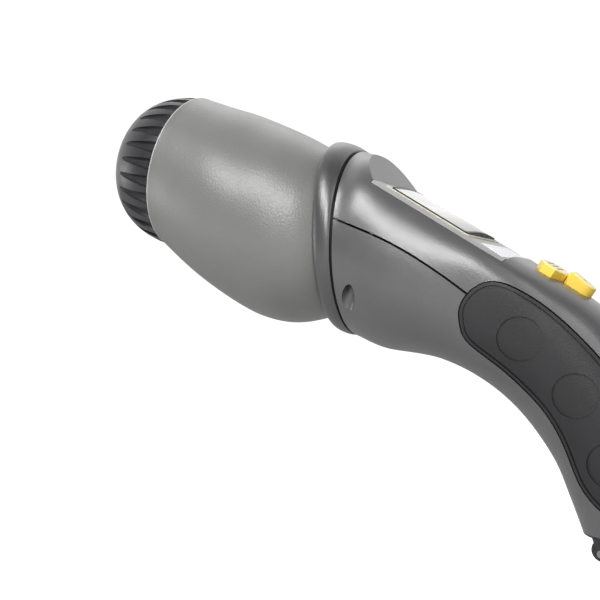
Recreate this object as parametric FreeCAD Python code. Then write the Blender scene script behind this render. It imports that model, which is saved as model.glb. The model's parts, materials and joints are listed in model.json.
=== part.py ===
import FreeCAD
import Part

import math
import os

# Hand-held ink-jet label marker, in millimetres.
# X runs along the tool with the ink bulb towards -X, Y is the width, Z is up.
# The origin is the middle of the printing face, which stands on the work.

# --- Overall sizes -----------------------------------------------------------
REACH = 246.0            # printing face middle to the furthest outline of the bulb end, along X
HEIGHT = 196.0           # printing face to the top of the bulb end, along Z
NECK_WIDTH = 74.0        # widest part of the neck and collar, along Y
BULB_WIDTH = 83.0        # widest part of the ink bulb, along Y

# --- Walls and running gaps --------------------------------------------------
SHELL_WALL = 3.2         # neck and handle shells
TONGUE_REACH = 6.0       # collar's tongue inside the shells
TONGUE_ROOT = 1.5
TONGUE_WALL = 2.4
BULB_WALL = 3.0          # bulb cover
FIT_GAP = 0.3            # between pieces that seat in one another
SHADOW_GAP = 0.9         # visible parting gap between the two shells
COLLAR_GAP = 1.3         # visible gap between the collar and the shells
KEY_GAP = 0.4            # round each key
SHAFT_GAP = 0.05         # radial, round a shaft

# --- Cap ---------------------------------------------------------------------
CAP_TILT = 14.5          # cap axis above the horizontal, degrees
CAP_RIM_RADIUS = 35.0
CAP_LENGTH = 31.4        # rim to crown
CAP_WALL = 2.6
CAP_GAP = 0.5            # between the cap's rim and the bulb cover
FLUTES = 28
FLUTE_LENGTH = 25.0
FLUTE_RADIUS = 2.9       # at the rim
FLUTE_DEPTH = 1.9        # at the rim
FLUTE_LEAN = 6.6         # towards the axis, from rim to crown
DOME_POWERS = (0.68, 0.98)  # radius and height of the crown's curve
SPIGOT_RADIUS = 28.6
SPIGOT_WALL = 2.2
SPIGOT_LENGTH = 11.0
LUG_ANGLE = 20.0
CAP_TURN = 60.0          # bayonet turn from locked to free, degrees
LUGS = 3
BULB_RIM_RADIUS = 35.6
MOUTH_DEPTH = 12.3       # bored round for the cap's seat
MOUTH_RADIUS = BULB_RIM_RADIUS - BULB_WALL - 0.2
SEAT_SLIP = 0.15         # radial, round the cap's seat

# --- Cartridge and docking ---------------------------------------------------
CARTRIDGE_RADIUS = 21.5
CARTRIDGE_LENGTH = 54.0
CARTRIDGE_NECK_RADIUS = 8.0
CARTRIDGE_NECK_LENGTH = 8.0
CARTRIDGE_DEPTH = 13.0   # rim plane to the cartridge's outer end
CRADLE_THICKNESS = 3.0
CRADLE_FLOOR = 1.2       # under the cartridge's neck
VALVE_RADIUS = 5.0
HOSE_RADIUS = 2.0
HOSE_BEND = 11.0
VALVE_REACH = 4.6        # valve's barb below its cradle

# --- Display -----------------------------------------------------------------
FACET_ANGLE = 32.0       # display face below the horizontal, degrees
FACET_LENGTH = 63.0
FACE_HALF = (29.6, 26.0)  # half width of the display face at its two ends
SHOULDER_POWERS = (2.0, 7.0)
BEZEL_HALF = 36.0
BEZEL_THICKNESS = 1.4
WINDOW_START = 6.4
WINDOW_END = 43.6
WINDOW_HALF = 22.5
WINDOW_PROUD = 0.7
GASKET_WIDTH = 2.0
GASKET_PROUD = 0.3
LCD_THICKNESS = 3.0
BOARD_THICKNESS = 1.6
BOARD_LENGTH = 48.0
BOARD_HALF = 25.2
SCREW_SHANK = 0.8
SCREW_HEAD = 1.5

# --- Keys --------------------------------------------------------------------
KEY_ANGLE = 34.0         # key plane below the horizontal, degrees
KEY_TRAVEL = 1.0
KEY_DEPTH = 5.6
KEY_FLANGE = 1.2
KEY_EDGE = 0.6           # rounding of the tops
MODE_KEY_PROUD = 3.0
MODE_KEY_START = -16.4
MODE_KEY_END = -4.4
MODE_KEY_HALF = 13.0
MODE_KEY_CORNER = (3.6, 8.5)
PRINT_KEY_PROUD = (5.4, 4.0)  # at the display's end and at the handle's end
PRINT_KEY_LENGTH = 11.0
PRINT_KEY_HALF = 6.2
KEY_SPACING = 0.6        # between the two keys

# --- Grips -------------------------------------------------------------------
GRIP_DEPTH = 2.0
GRIP_GAP = 0.6
GRIP_GROOVE_INSET = 1.1
GRIP_GROOVE_WIDTH = 0.6
GRIP_GROOVE_DEPTH = 0.7
DIMPLE_RADIUS = 8.7
DIMPLE_DEPTH = 0.8

# --- Battery -----------------------------------------------------------------
CELL_RADIUS = 7.1
CELL_LENGTH = 48.0
TRAY_WALL = 1.4

# --- Printing end ------------------------------------------------------------
ROLLER_RADIUS = 4.5
ROLLER_X = 12.6
ROLLER_HALF = 13.0
STAND_OFF = 0.8          # rollers below the nozzle plate, which never touches the work
AXLE_RADIUS = 1.5
CHEEK_HALF = 17.0        # inner faces of the roller slots
ROLLER_STEP = 1.4        # tread above the roller's core
ROLLER_WAIST = 6.0       # half length of the core between the two treads
ROLLER_Z = ROLLER_RADIUS - STAND_OFF
AXLE_HOLD = 2.6          # length of axle in each cheek
NOSE_BOTTOM = 2.0
SHELL_BOTTOM = 9.6
HEAD_LENGTH = 12.0
HEAD_HALF = 12.0
HEAD_TOP = 33.0
PLATE_THICKNESS = 0.8
NOZZLES = 8
NOZZLE_PITCH = 2.4
NOZZLE_RADIUS = 0.4
VALVE_BLOCK_HEIGHT = 13.0
ENCODER_RADIUS = 3.9
ENCODER_THICKNESS = 0.8
SENSOR_THICKNESS = 1.0
SENSOR_LENGTH = 2.6
SLOT_HALF = ROLLER_RADIUS + 0.8

# --- Case screws -------------------------------------------------------------
CASE_SCREW_HEAD = 2.3
CASE_SCREW_SHANK = 1.2
BORE_RADIUS = 3.2
BOSS_RADIUS = 5.0

# The outline is drawn for these overall sizes and follows the ones above.
DRAWN_REACH = 246.0
DRAWN_HEIGHT = 196.0
DRAWN_NECK = 74.0
DRAWN_BULB = 83.0

SECTION_POINTS = 28
STATIONS_BETWEEN = 2
WIDE = 200.0             # beyond every outline
Y_AXIS = FreeCAD.Vector(0, 1, 0)


def at(x, z, y=0.0):
    """A point of the drawn outline, at the object's own size."""
    return FreeCAD.Vector(x * REACH / DRAWN_REACH, y, z * HEIGHT / DRAWN_HEIGHT)


def save(name, shape):
    shape = shape.removeSplitter() if shape.ShapeType != "Compound" else shape
    shape.exportStep(os.path.join("parts", name + ".step"))
    solids = len(shape.Solids)
    print(f"{name}: {solids} solid(s), {shape.Volume / 1000:.2f} cm3, valid {shape.isValid()}")


# --- Lofted bodies -----------------------------------------------------------
def oval(top, bottom, half_width, top_power, bottom_power, inset=0.0):
    """Points round an oval between two middle-plane points, squarer as its powers grow."""
    up = top - bottom
    half_height = up.Length / 2 - inset
    half_width = half_width - inset
    middle = (top + bottom) * 0.5
    up.normalize()
    points = []
    for i in range(SECTION_POINTS):
        turn = 2 * math.pi * i / SECTION_POINTS - math.pi / 2
        across, along = math.cos(turn), math.sin(turn)
        power = top_power if along >= 0 else bottom_power
        y = half_width * math.copysign(abs(across) ** (2 / power), across)
        h = half_height * math.copysign(abs(along) ** (2 / power), along)
        points.append(middle + up * h + Y_AXIS * y)
    return points + points[:1]


def through(values):
    """The values with more between them, on a smooth line through each value."""
    ends = [values[0] * 2 - values[1]] + values + [values[-1] * 2 - values[-2]]
    result = []
    for before, start, end, after in zip(ends, ends[1:], ends[2:], ends[3:]):
        for k in range(STATIONS_BETWEEN):
            t = k / STATIONS_BETWEEN
            result.append((start * 2 + (end - before) * t
                           + (before * 2 - start * 5 + end * 4 - after) * t ** 2
                           + (start * 3 - before - end * 3 + after) * t ** 3) * 0.5)
    return result + [values[-1]]


def stations(rows):
    """Rows of a body, with more rows between them on a smooth run."""
    tops, bottoms = through([row[0] for row in rows]), through([row[1] for row in rows])
    forms = through([FreeCAD.Vector(*row[2:]) for row in rows])
    return [(top, bottom, form.x, form.y, form.z) for top, bottom, form in zip(tops, bottoms, forms)]


def loft(rows, inset=0.0):
    """Closed solid through ovals, each given as top, bottom, half width and two powers."""
    surface = Part.BSplineSurface()
    surface.interpolate([oval(*row, inset) for row in rows])
    u0, u1, v0, v1 = surface.bounds()
    ends = [Part.Face(Part.Wire([surface.uIso(u).toShape()])) for u in (u0, u1)]
    shell = Part.makeShell([surface.toShape()] + ends)
    shell.sewShape()
    solid = Part.makeSolid(Part.Shell(shell.Faces))
    return solid if solid.Volume > 0 else solid.reversed()


def neck(half):
    return half * NECK_WIDTH / DRAWN_NECK


def bulb(half):
    return half * BULB_WIDTH / DRAWN_BULB


# top point, bottom point, half width, squareness of the top and of the bottom
BODY_ROWS = [
    (at(-114.9, 164.2), at(-118.3, 84.2), neck(36.3), 2.2, 2.0),
    (at(-100, 158.5), at(-104, 78.8), neck(37.0), 2.6, 2.15),
    (at(-82, 147.5), at(-92.5, 77.2), neck(36.2), 2.9, 2.4),
    (at(-64, 131.5), at(-80, 75.3), neck(34.0), 3.3, 2.5),
    (at(-46, 116.4), at(-67, 70.5), neck(31.0), 4.6, 2.6),
    (at(-30, 107.0), at(-55, 63.0), neck(28.2), 3.3, 2.6),
    (at(-14, 95.8), at(-45.4, 54.2), neck(26.0), 2.6, 2.6),
    (at(-2, 81), at(-37.6, 44.4), neck(24.6), 2.4, 2.6),
    (at(8, 61), at(-31.5, 34.3), neck(23.6), 2.4, 2.5),
    (at(14, 41), at(-27.4, 24.3), neck(22.8), 2.4, 2.5),
    (at(17.5, 22), at(-23.2, 13.3), neck(22.2), 2.4, 2.5),
    (at(19.5, 1.8), at(-18.8, 1.8), neck(21.6), 2.6, 2.6),
]

BULB_ROWS = [
    (at(-119, 157.0), at(-119.5, 98.0), bulb(30.5), 2.3, 2.3),
    (at(-125.2, 162.8), at(-126.4, 94.0), bulb(33.3), 2.35, 2.3),
    (at(-131.5, 166.5), at(-133.6, 91.4), bulb(36.8), 2.35, 2.35),
    (at(-142.8, 172.9), at(-147, 89.2), bulb(40.2), 2.2, 2.2),
    (at(-155.2, 178.8), at(-162.7, 92.1), bulb(41.5), 2.0, 2.0),
    (at(-167.9, 184.2), at(-179.3, 100.6), bulb(41.0), 2.0, 2.0),
    (at(-181, 188.7), at(-195.6, 111.4), bulb(38.6), 2.0, 2.0),
]

# --- Frames ------------------------------------------------------------------
CAP_OUT = FreeCAD.Vector(-math.cos(math.radians(CAP_TILT)), 0, math.sin(math.radians(CAP_TILT)))
CAP_UP = FreeCAD.Vector(math.sin(math.radians(CAP_TILT)), 0, math.cos(math.radians(CAP_TILT)))
RIM_CENTRE = at(-202.9, 159.1)


def cap_frame(solid):
    """Move a solid drawn about +Z, with the rim plane at zero, onto the cap's axis."""
    turn = FreeCAD.Rotation(FreeCAD.Vector(0, 0, 1), CAP_OUT)
    placed = solid.copy()
    placed.Placement = FreeCAD.Placement(RIM_CENTRE, turn).multiply(solid.Placement)
    return placed


BULB_ROWS.append((RIM_CENTRE + CAP_UP * BULB_RIM_RADIUS, RIM_CENTRE - CAP_UP * BULB_RIM_RADIUS,
                  BULB_RIM_RADIUS, 2.0, 2.0))

FACET_START = at(-100.5, 148.3)
FACET_ALONG = FreeCAD.Vector(math.cos(math.radians(FACET_ANGLE)), 0,
                             -math.sin(math.radians(FACET_ANGLE)))
FACET_NORMAL = FreeCAD.Vector(math.sin(math.radians(FACET_ANGLE)), 0,
                              math.cos(math.radians(FACET_ANGLE)))
KEY_CENTRE = at(-25.6, 104.2)
KEY_ALONG = FreeCAD.Vector(math.cos(math.radians(KEY_ANGLE)), 0,
                           -math.sin(math.radians(KEY_ANGLE)))
KEY_NORMAL = FreeCAD.Vector(math.sin(math.radians(KEY_ANGLE)), 0,
                            math.cos(math.radians(KEY_ANGLE)))


def plate(outline, origin, along, normal, low, high):
    """Prism of a plan outline of (along, across) points, between two heights."""
    points = [origin + along * u + Y_AXIS * v + normal * low for u, v in outline]
    wire = Part.makePolygon(points + points[:1])
    return Part.Face(wire).extrude(normal * (high - low))


def facet_plate(outline, low, high):
    return plate(outline, FACET_START, FACET_ALONG, FACET_NORMAL, low, high)


def key_plate(outline, low, high):
    return plate(outline, KEY_CENTRE, KEY_ALONG, KEY_NORMAL, low, high)


def rounded(u0, u1, half, radius, steps=5):
    """Plan outline of a rectangle with rounded corners."""
    points = []
    corners = [(u1 - radius, half - radius, 0), (u0 + radius, half - radius, 90),
               (u0 + radius, -half + radius, 180), (u1 - radius, -half + radius, 270)]
    for cu, cv, start in corners:
        for i in range(steps + 1):
            a = math.radians(start + 90 * i / steps)
            points.append((cu + radius * math.cos(a), cv + radius * math.sin(a)))
    return points


def grown(outline, amount):
    """The same convex outline, larger or smaller all round."""
    cu = sum(u for u, v in outline) / len(outline)
    half_u = max(abs(u - cu) for u, v in outline)
    half_v = max(abs(v) for u, v in outline)
    return [(cu + (u - cu) * (half_u + amount) / half_u, v * (half_v + amount) / half_v)
            for u, v in outline]


def side_prism(points, closed_curve=False):
    """Solid of a middle-plane outline, running right across the object."""
    if closed_curve:
        curve = Part.BSplineCurve()
        curve.interpolate(Points=points, PeriodicFlag=True)
        wire = Part.Wire(curve.toShape())
    else:
        wire = Part.makePolygon(points + points[:1])
    face = Part.Face(wire)
    face.translate(Y_AXIS * -WIDE / 2)
    return face.extrude(Y_AXIS * WIDE)


def rod(start, end, radius):
    axis = end - start
    return Part.makeCylinder(radius, axis.Length, start, axis)


def across(middle, half, radius):
    """A round bar running along Y through a point."""
    return rod(middle - Y_AXIS * half, middle + Y_AXIS * half, radius)


def box(x0, x1, y0, y1, z0, z1):
    return Part.makeBox(x1 - x0, y1 - y0, z1 - z0, FreeCAD.Vector(x0, y0, z0))


def fuse(shapes):
    first = shapes[0]
    return first.multiFuse(shapes[1:]) if len(shapes) > 1 else first


# --- Neck and handle shells --------------------------------------------------
def display_cut(depth):
    """Everything above the display face and in front of the hood, sunk by a depth."""
    sunk = FACET_NORMAL * -depth
    hood_lean = at(-107.2, 160.8) - FACET_START
    start = FACET_START + sunk - FACET_ALONG * (depth * 0.55)
    end = FACET_START + sunk + FACET_ALONG * (FACET_LENGTH + depth)
    return side_prism([start, start + hood_lean * 6, end + FACET_NORMAL * WIDE, end])


def parting(side):
    """The region on one side of the parting line between the two shells."""
    line = [at(-125, 137.2), at(-113.5, 131.8), at(-94.4, 123.7), at(-77, 113.6), at(-59.5, 100.6),
            at(-42, 84), at(-27, 66), at(-14, 44), at(-6, 22), at(-2.5, -6)]
    curve = Part.BSplineCurve()
    curve.interpolate(Points=line)
    steps = 24
    first, last = curve.FirstParameter, curve.LastParameter
    points = []
    for i in range(steps + 1):
        t = first + (last - first) * i / steps
        tangent = curve.tangent(t)[0]
        normal = FreeCAD.Vector(-tangent.z, 0, tangent.x)
        if normal.x + normal.z < 0:
            normal = normal * -1
        points.append(curve.value(t) + normal * (side * SHADOW_GAP / 2))
    if side > 0:
        far = [at(150, -6), at(150, 300), at(-125, 300)]
    else:
        far = [at(-300, -6), at(-300, 137.2)]
    edge = Part.BSplineCurve()
    edge.interpolate(Points=points)
    lines = [edge.toShape()]
    corners = [points[-1]] + far + [points[0]]
    for start, end in zip(corners, corners[1:]):
        lines.append(Part.makeLine(start, end))
    face = Part.Face(Part.Wire(lines))
    face.translate(Y_AXIS * -WIDE / 2)
    return face.extrude(Y_AXIS * WIDE)


SEAM_OUT = BODY_ROWS[0][0] - BODY_ROWS[0][1]
SEAM_OUT = FreeCAD.Vector(-SEAM_OUT.z, 0, SEAM_OUT.x).normalize()
SEAM_CENTRE = (BODY_ROWS[0][0] + BODY_ROWS[0][1]) * 0.5


def moved(row, offset):
    return (row[0] + offset, row[1] + offset) + row[2:]


def shouldered(row):
    """The row with its top just square enough for the display face's width there."""
    top, bottom, half_width, power, bottom_power = row
    up = top - bottom
    half_height = up.Length / 2
    up.normalize()
    middle = (top + bottom) * 0.5
    rise = (FACET_START - middle).dot(FACET_NORMAL) / up.dot(FACET_NORMAL)
    u = (middle + up * rise - FACET_START).dot(FACET_ALONG)
    if not 0 <= u <= FACET_LENGTH or rise >= half_height:
        return row
    start, end = FACE_HALF
    wanted = (start + (end - start) * u / FACET_LENGTH) / half_width
    low, high = SHOULDER_POWERS
    for _ in range(30):
        power = (low + high) / 2
        if (1 - (rise / half_height) ** power) ** (1 / power) < wanted:
            low = power
        else:
            high = power
    return top, bottom, half_width, power, bottom_power


BODY_STATIONS = [shouldered(row) for row in stations(BODY_ROWS)]
BODY = loft(BODY_STATIONS)
BODY_FACED = BODY.cut(display_cut(0.0))
CAVITY_ROWS = [moved(BODY_STATIONS[0], SEAM_OUT * 3)] + BODY_STATIONS
CAVITY_ROWS.append(moved(BODY_STATIONS[-1], FreeCAD.Vector(0, 0, -6)))


def inside(inset):
    """The space inside the shells, at a distance from their outer face."""
    return loft(CAVITY_ROWS, inset).cut(display_cut(inset))


CAVITY = inside(SHELL_WALL)
BELOW_SHELLS = box(-WIDE, WIDE, -WIDE, WIDE, -WIDE, SHELL_BOTTOM)


def seam_slab(thickness, root=0.0):
    """The first stretch of the neck, measured from the collar's face."""
    slab = Part.makeBox(thickness + root, WIDE, WIDE)
    corner = FreeCAD.Placement(FreeCAD.Vector(-root, -WIDE / 2, -WIDE / 2), FreeCAD.Rotation())
    turn = FreeCAD.Rotation(FreeCAD.Vector(1, 0, 0), SEAM_OUT * -1)
    slab.Placement = FreeCAD.Placement(SEAM_CENTRE, turn).multiply(corner)
    return slab


GRIP_OUTLINE = [at(-63.6, 92), at(-60.5, 101.2), at(-52, 106), at(-41.5, 102.8), at(-31, 95.6),
                at(-20, 85.4), at(-10.5, 74.5), at(-1.5, 60), at(4, 44), at(6.5, 30),
                at(3, 20.5), at(-5.5, 17.5), at(-13.5, 21.5), at(-19.8, 28.8), at(-24.0, 39),
                at(-28.3, 49.4), at(-33.8, 58), at(-40.2, 65), at(-49, 73.2), at(-57.6, 80),
                at(-62.4, 85.4)]
DIMPLES = [at(-41.3, 84.4), at(-21.2, 63.2), at(-8.8, 37.6)]


def inset_curve(points, amount):
    """A closed outline moved inwards by an amount, or outwards when negative."""
    result = []
    count = len(points)
    for i in range(count):
        along = points[(i + 1) % count] - points[i - 1]
        inward = FreeCAD.Vector(along.z, 0, -along.x).normalize()
        result.append(points[i] + inward * amount)
    return result


def grip_region(amount):
    return side_prism(inset_curve(GRIP_OUTLINE, amount), closed_curve=True)


def side(shape, sign):
    low, high = (4.0, WIDE) if sign > 0 else (-WIDE, -4.0)
    return shape.common(box(-WIDE, WIDE, low, high, -WIDE, WIDE))


def make_grips():
    layer = BODY.cut(loft(CAVITY_ROWS, GRIP_DEPTH))
    skin = BODY.cut(loft(CAVITY_ROWS, DIMPLE_DEPTH))
    shallow = BODY.cut(loft(CAVITY_ROWS, GRIP_GROOVE_DEPTH))
    pad = layer.common(grip_region(0.0))
    groove = grip_region(GRIP_GROOVE_INSET).cut(grip_region(GRIP_GROOVE_INSET + GRIP_GROOVE_WIDTH))
    pad = pad.cut(groove.common(shallow))
    for centre in DIMPLES:
        disc = rod(centre - Y_AXIS * WIDE / 2, centre + Y_AXIS * WIDE / 2, DIMPLE_RADIUS)
        pad = pad.cut(disc.common(skin))
    save("left_grip", side(pad, 1))
    save("right_grip", side(pad, -1))


def grip_recess():
    deep = BODY.cut(loft(CAVITY_ROWS, GRIP_DEPTH + FIT_GAP))
    region = grip_region(-GRIP_GAP)
    cut = deep.common(region)
    return Part.makeCompound([side(cut, 1), side(cut, -1)])


# --- Keys --------------------------------------------------------------------
def mode_key_outline():
    start, end = MODE_KEY_START, MODE_KEY_END
    along, across = MODE_KEY_CORNER
    far, near = MODE_KEY_HALF, MODE_KEY_HALF - across
    return [(start, -near), (start + along, -far), (end - along, -far), (end, -near),
            (end, near), (end - along, far), (start + along, far), (start, near)]


def print_key_outline():
    start = MODE_KEY_END + KEY_SPACING
    end = start + PRINT_KEY_LENGTH
    half, corner = PRINT_KEY_HALF, PRINT_KEY_HALF * 0.6
    points = [(start, -half + 1.0), (start + 1.0, -half)]
    for i in range(7):
        turn = math.radians(15 * i)
        points.append((end - corner + corner * math.sin(turn), -half + corner - corner * math.cos(turn)))
    return points + [(u, -v) for u, v in reversed(points)]


KEYS = {"mode_key": mode_key_outline(), "print_key": print_key_outline()}
KEY_TOPS = {"mode_key": (MODE_KEY_PROUD, MODE_KEY_PROUD), "print_key": PRINT_KEY_PROUD}


def key_point(u, v, height):
    return KEY_CENTRE + KEY_ALONG * u + Y_AXIS * v + KEY_NORMAL * height


def make_keys():
    for name, outline in KEYS.items():
        low, high = min(u for u, v in outline), max(u for u, v in outline)
        start_top, end_top = KEY_TOPS[name]
        side_face = Part.Face(Part.makePolygon([
            key_point(low, -WIDE / 8, -KEY_DEPTH), key_point(high, -WIDE / 8, -KEY_DEPTH),
            key_point(high, -WIDE / 8, end_top), key_point(low, -WIDE / 8, start_top),
            key_point(low, -WIDE / 8, -KEY_DEPTH)]))
        stem = key_plate(outline, -KEY_DEPTH, WIDE / 8).common(side_face.extrude(Y_AXIS * WIDE / 4))
        middle_top = min(start_top, end_top) - 1.5
        tops = [edge for edge in stem.Edges
                if all((v.Point - KEY_CENTRE).dot(KEY_NORMAL) > middle_top for v in edge.Vertexes)]
        stem = stem.makeFillet(KEY_EDGE, tops)
        flange = key_plate(grown(outline, KEY_FLANGE), -KEY_DEPTH, -KEY_DEPTH + 0.8)
        if name == "mode_key":
            beyond = rounded(MODE_KEY_END + 0.1, WIDE, WIDE, 1.0)
        else:
            beyond = rounded(-WIDE, MODE_KEY_END + KEY_SPACING - 0.1, WIDE, 1.0)
        flange = flange.cut(key_plate(beyond, -WIDE, WIDE))
        save(name, stem.fuse(flange))


MAT_TOP = KEY_DEPTH + KEY_TRAVEL + FIT_GAP
MAT_THICKNESS = 1.2
SWITCH_HEIGHT = 1.6
KEY_BOARD_START = MODE_KEY_START - 2.0
KEY_BOARD_END = MODE_KEY_END + PRINT_KEY_LENGTH + 2.0
KEY_BOARD_HALF = 15.4
RAIL_LAP = 0.8           # rails over the key board's edges


def make_key_stack():
    outline = rounded(KEY_BOARD_START, KEY_BOARD_END, KEY_BOARD_HALF, 2.0)
    low = -MAT_TOP - MAT_THICKNESS
    save("key_mat", key_plate(outline, low, -MAT_TOP))
    switches = []
    for outline_name in KEYS:
        key = KEYS[outline_name]
        middle = sum(u for u, v in key) / len(key)
        switches.append(key_plate(rounded(middle - 2.2, middle + 2.2, 2.2, 0.4),
                                  low - SWITCH_HEIGHT, low))
    save("key_switches", Part.makeCompound(switches))
    board_top = low - SWITCH_HEIGHT
    save("key_board", key_plate(outline, board_top - 1.0, board_top))
    return board_top


# --- Case screws and their bosses --------------------------------------------
BORE_AXIS = FreeCAD.Vector(0.36, 0, 0.933).normalize()
BORE_MOUTH = at(-110.4, 99.2)
BORE_Y = neck(31.2)
BORE_LENGTH = 15.0
BOSS_LENGTH = 31.0


def bore_point(distance, sign):
    return BORE_MOUTH + BORE_AXIS * distance + Y_AXIS * (sign * BORE_Y)


def make_shells():
    hollow = BODY_FACED.cut(CAVITY).cut(seam_slab(COLLAR_GAP)).cut(BELOW_SHELLS)
    recess = grip_recess()
    upper = hollow.common(parting(1))
    lower = hollow.common(parting(-1))
    room = inside(SHELL_WALL - 0.5).cut(seam_slab(TONGUE_REACH + FIT_GAP))
    lower_bosses, upper_bosses, bores, pilots = [], [], [], []
    for sign in (-1, 1):
        post = rod(bore_point(0, sign), bore_point(BOSS_LENGTH, sign), BOSS_RADIUS).common(room)
        lower_bosses.append(post.common(parting(-1)))
        tall = rod(bore_point(0, sign), bore_point(BOSS_LENGTH + 22, sign), BOSS_RADIUS)
        upper_bosses.append(tall.common(room).common(parting(1)))
        bores.append(rod(bore_point(-20, sign), bore_point(BORE_LENGTH, sign), BORE_RADIUS))
        pilots.append(rod(bore_point(BORE_LENGTH - 1, sign), bore_point(BOSS_LENGTH + 12, sign),
                          CASE_SCREW_SHANK + SHAFT_GAP))
    lower = lower.fuse(lower_bosses).cut(recess)
    for tool in bores + pilots:
        lower = lower.cut(tool)
    upper = upper.fuse(upper_bosses).cut(recess)
    for tool in pilots:
        upper = upper.cut(tool)
    bezel_seat = facet_plate(grown(bezel_outline(), FIT_GAP), -BEZEL_THICKNESS - 0.1, WIDE / 4)
    opening = facet_plate(rounded(WINDOW_START - 0.6, WINDOW_END + 0.6, WINDOW_HALF + 0.6, 2.5),
                          -SHELL_WALL - 3, WIDE / 4)
    posts = board_posts()
    upper = upper.fuse(posts)
    upper = upper.cut(bezel_seat).cut(opening)
    for hole in board_screw_rods(SCREW_SHANK + SHAFT_GAP, -SHELL_WALL + 0.6):
        upper = upper.cut(hole)
    for outline in KEYS.values():
        upper = upper.cut(key_plate(grown(outline, KEY_GAP), -KEY_DEPTH - 1, WIDE / 8))
    key_low = -MAT_TOP - MAT_THICKNESS - SWITCH_HEIGHT - 1.0
    rails = []
    for sign in (-1, 1):
        v0 = sign * (KEY_BOARD_HALF - RAIL_LAP)
        v1 = sign * (KEY_BOARD_HALF + 2.5)
        rail = key_plate([(KEY_BOARD_START + 3, v0), (KEY_BOARD_END - 6, v0),
                          (KEY_BOARD_END - 6, v1), (KEY_BOARD_START + 3, v1)], key_low, 0)
        slot = key_plate(grown(rounded(KEY_BOARD_START, KEY_BOARD_END, KEY_BOARD_HALF, 2.0), FIT_GAP),
                         key_low - 1, -MAT_TOP + FIT_GAP)
        rails.append(rail.cut(slot).common(inside(SHELL_WALL - 0.5)).common(parting(1)))
    upper = upper.fuse(rails)
    save("upper_shell", upper)
    save("lower_shell", lower)
    screws = []
    for sign in (-1, 1):
        head = rod(bore_point(BORE_LENGTH - 2.2, sign), bore_point(BORE_LENGTH, sign), CASE_SCREW_HEAD)
        shank = rod(bore_point(BORE_LENGTH, sign), bore_point(BOSS_LENGTH + 8, sign), CASE_SCREW_SHANK)
        socket = rod(bore_point(BORE_LENGTH - 3, sign), bore_point(BORE_LENGTH - 1, sign), 1.2)
        screws.append(head.fuse(shank).cut(socket))
    save("case_screws", Part.makeCompound(screws))


# --- Display -----------------------------------------------------------------
def bezel_outline():
    return rounded(0.6, FACET_LENGTH - 0.6, BEZEL_HALF, 2.0)


BOARD_START = 5.0
LCD_TOP = -(BEZEL_THICKNESS + 0.3)
BOARD_TOP = LCD_TOP - LCD_THICKNESS
POST_PLACES = [(9.0, -23.9), (9.0, 23.9), (50.0, -18.0), (50.0, 18.0)]


def facet_rod(place, low, high, radius):
    u, v = place
    base = FACET_START + FACET_ALONG * u + Y_AXIS * v
    return rod(base + FACET_NORMAL * low, base + FACET_NORMAL * high, radius)


def board_posts():
    return [facet_rod(place, BOARD_TOP, -SHELL_WALL + 0.5, 1.9) for place in POST_PLACES]


def board_screw_rods(radius, high):
    return [facet_rod(place, BOARD_TOP - BOARD_THICKNESS, high, radius) for place in POST_PLACES]


def make_display():
    window = rounded(WINDOW_START, WINDOW_END, WINDOW_HALF, 2.0)
    gasket = grown(window, GASKET_WIDTH)
    frame = facet_plate(bezel_outline(), -BEZEL_THICKNESS, 0)
    frame = frame.cut(facet_plate(grown(gasket, 0.1), -WIDE, WIDE)).common(BODY_FACED)
    save("display_bezel", frame)
    ring = facet_plate(gasket, -BEZEL_THICKNESS, GASKET_PROUD)
    save("display_gasket", ring.cut(facet_plate(grown(window, 0.1), -WIDE, WIDE)))
    save("display_window", facet_plate(window, -BEZEL_THICKNESS, WINDOW_PROUD))
    save("lcd_panel", facet_plate(rounded(WINDOW_START + 2, WINDOW_END - 2, WINDOW_HALF - 2, 1.0),
                                  BOARD_TOP, LCD_TOP))
    board = facet_plate(rounded(BOARD_START, BOARD_START + BOARD_LENGTH, BOARD_HALF, 2.0),
                        BOARD_TOP - BOARD_THICKNESS, BOARD_TOP)
    for hole in board_screw_rods(SCREW_SHANK + SHAFT_GAP, 0):
        board = board.cut(hole)
    save("main_board", board)
    screws = []
    for place in POST_PLACES:
        low = BOARD_TOP - BOARD_THICKNESS
        head = facet_rod(place, low - 1.2, low, SCREW_HEAD)
        screws.append(head.fuse(facet_rod(place, low, -SHELL_WALL + 0.4, SCREW_SHANK)))
    save("board_screws", Part.makeCompound(screws))


# --- Collar and bulb ---------------------------------------------------------
COLLAR_ROWS = [
    (at(-114.9, 164.2), at(-118.3, 84.2), neck(36.3), 2.2, 2.0),
    (at(-116.4, 165.3), at(-119.5, 84.1), neck(36.9), 2.25, 2.0),
    (at(-119.2, 167.0), at(-121.6, 84.6), neck(37.0), 2.3, 2.05),
    (at(-122.2, 168.0), at(-123.6, 85.5), neck(36.4), 2.35, 2.1),
    (at(-124.0, 168.0), at(-124.9, 86.5), neck(35.4), 2.4, 2.1),
    (at(-124.9, 166.9), at(-125.5, 87.8), neck(34.2), 2.4, 2.1),
]


def make_collar():
    ring = loft(stations(COLLAR_ROWS))
    tongue = inside(SHELL_WALL + FIT_GAP).cut(inside(SHELL_WALL + FIT_GAP + TONGUE_WALL))
    tongue = tongue.common(seam_slab(TONGUE_REACH, TONGUE_ROOT))
    passage = rod(SEAM_CENTRE - SEAM_OUT * 20, SEAM_CENTRE + SEAM_OUT * 20, 24.0)
    ring = ring.cut(passage).fuse(tongue)
    save("collar_ring", ring.cut(BULB_FULL_GROWN))


def make_bulb():
    inner = loft([moved(BULB_STATIONS[0], FreeCAD.Vector(4, 0, -1))] + BULB_STATIONS, BULB_WALL)
    mouth = cap_frame(Part.makeCylinder(MOUTH_RADIUS, MOUTH_DEPTH + 4,
                                        FreeCAD.Vector(0, 0, -MOUTH_DEPTH)))
    save("bulb_cover", BULB_FULL.cut(inner).cut(mouth))


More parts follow.
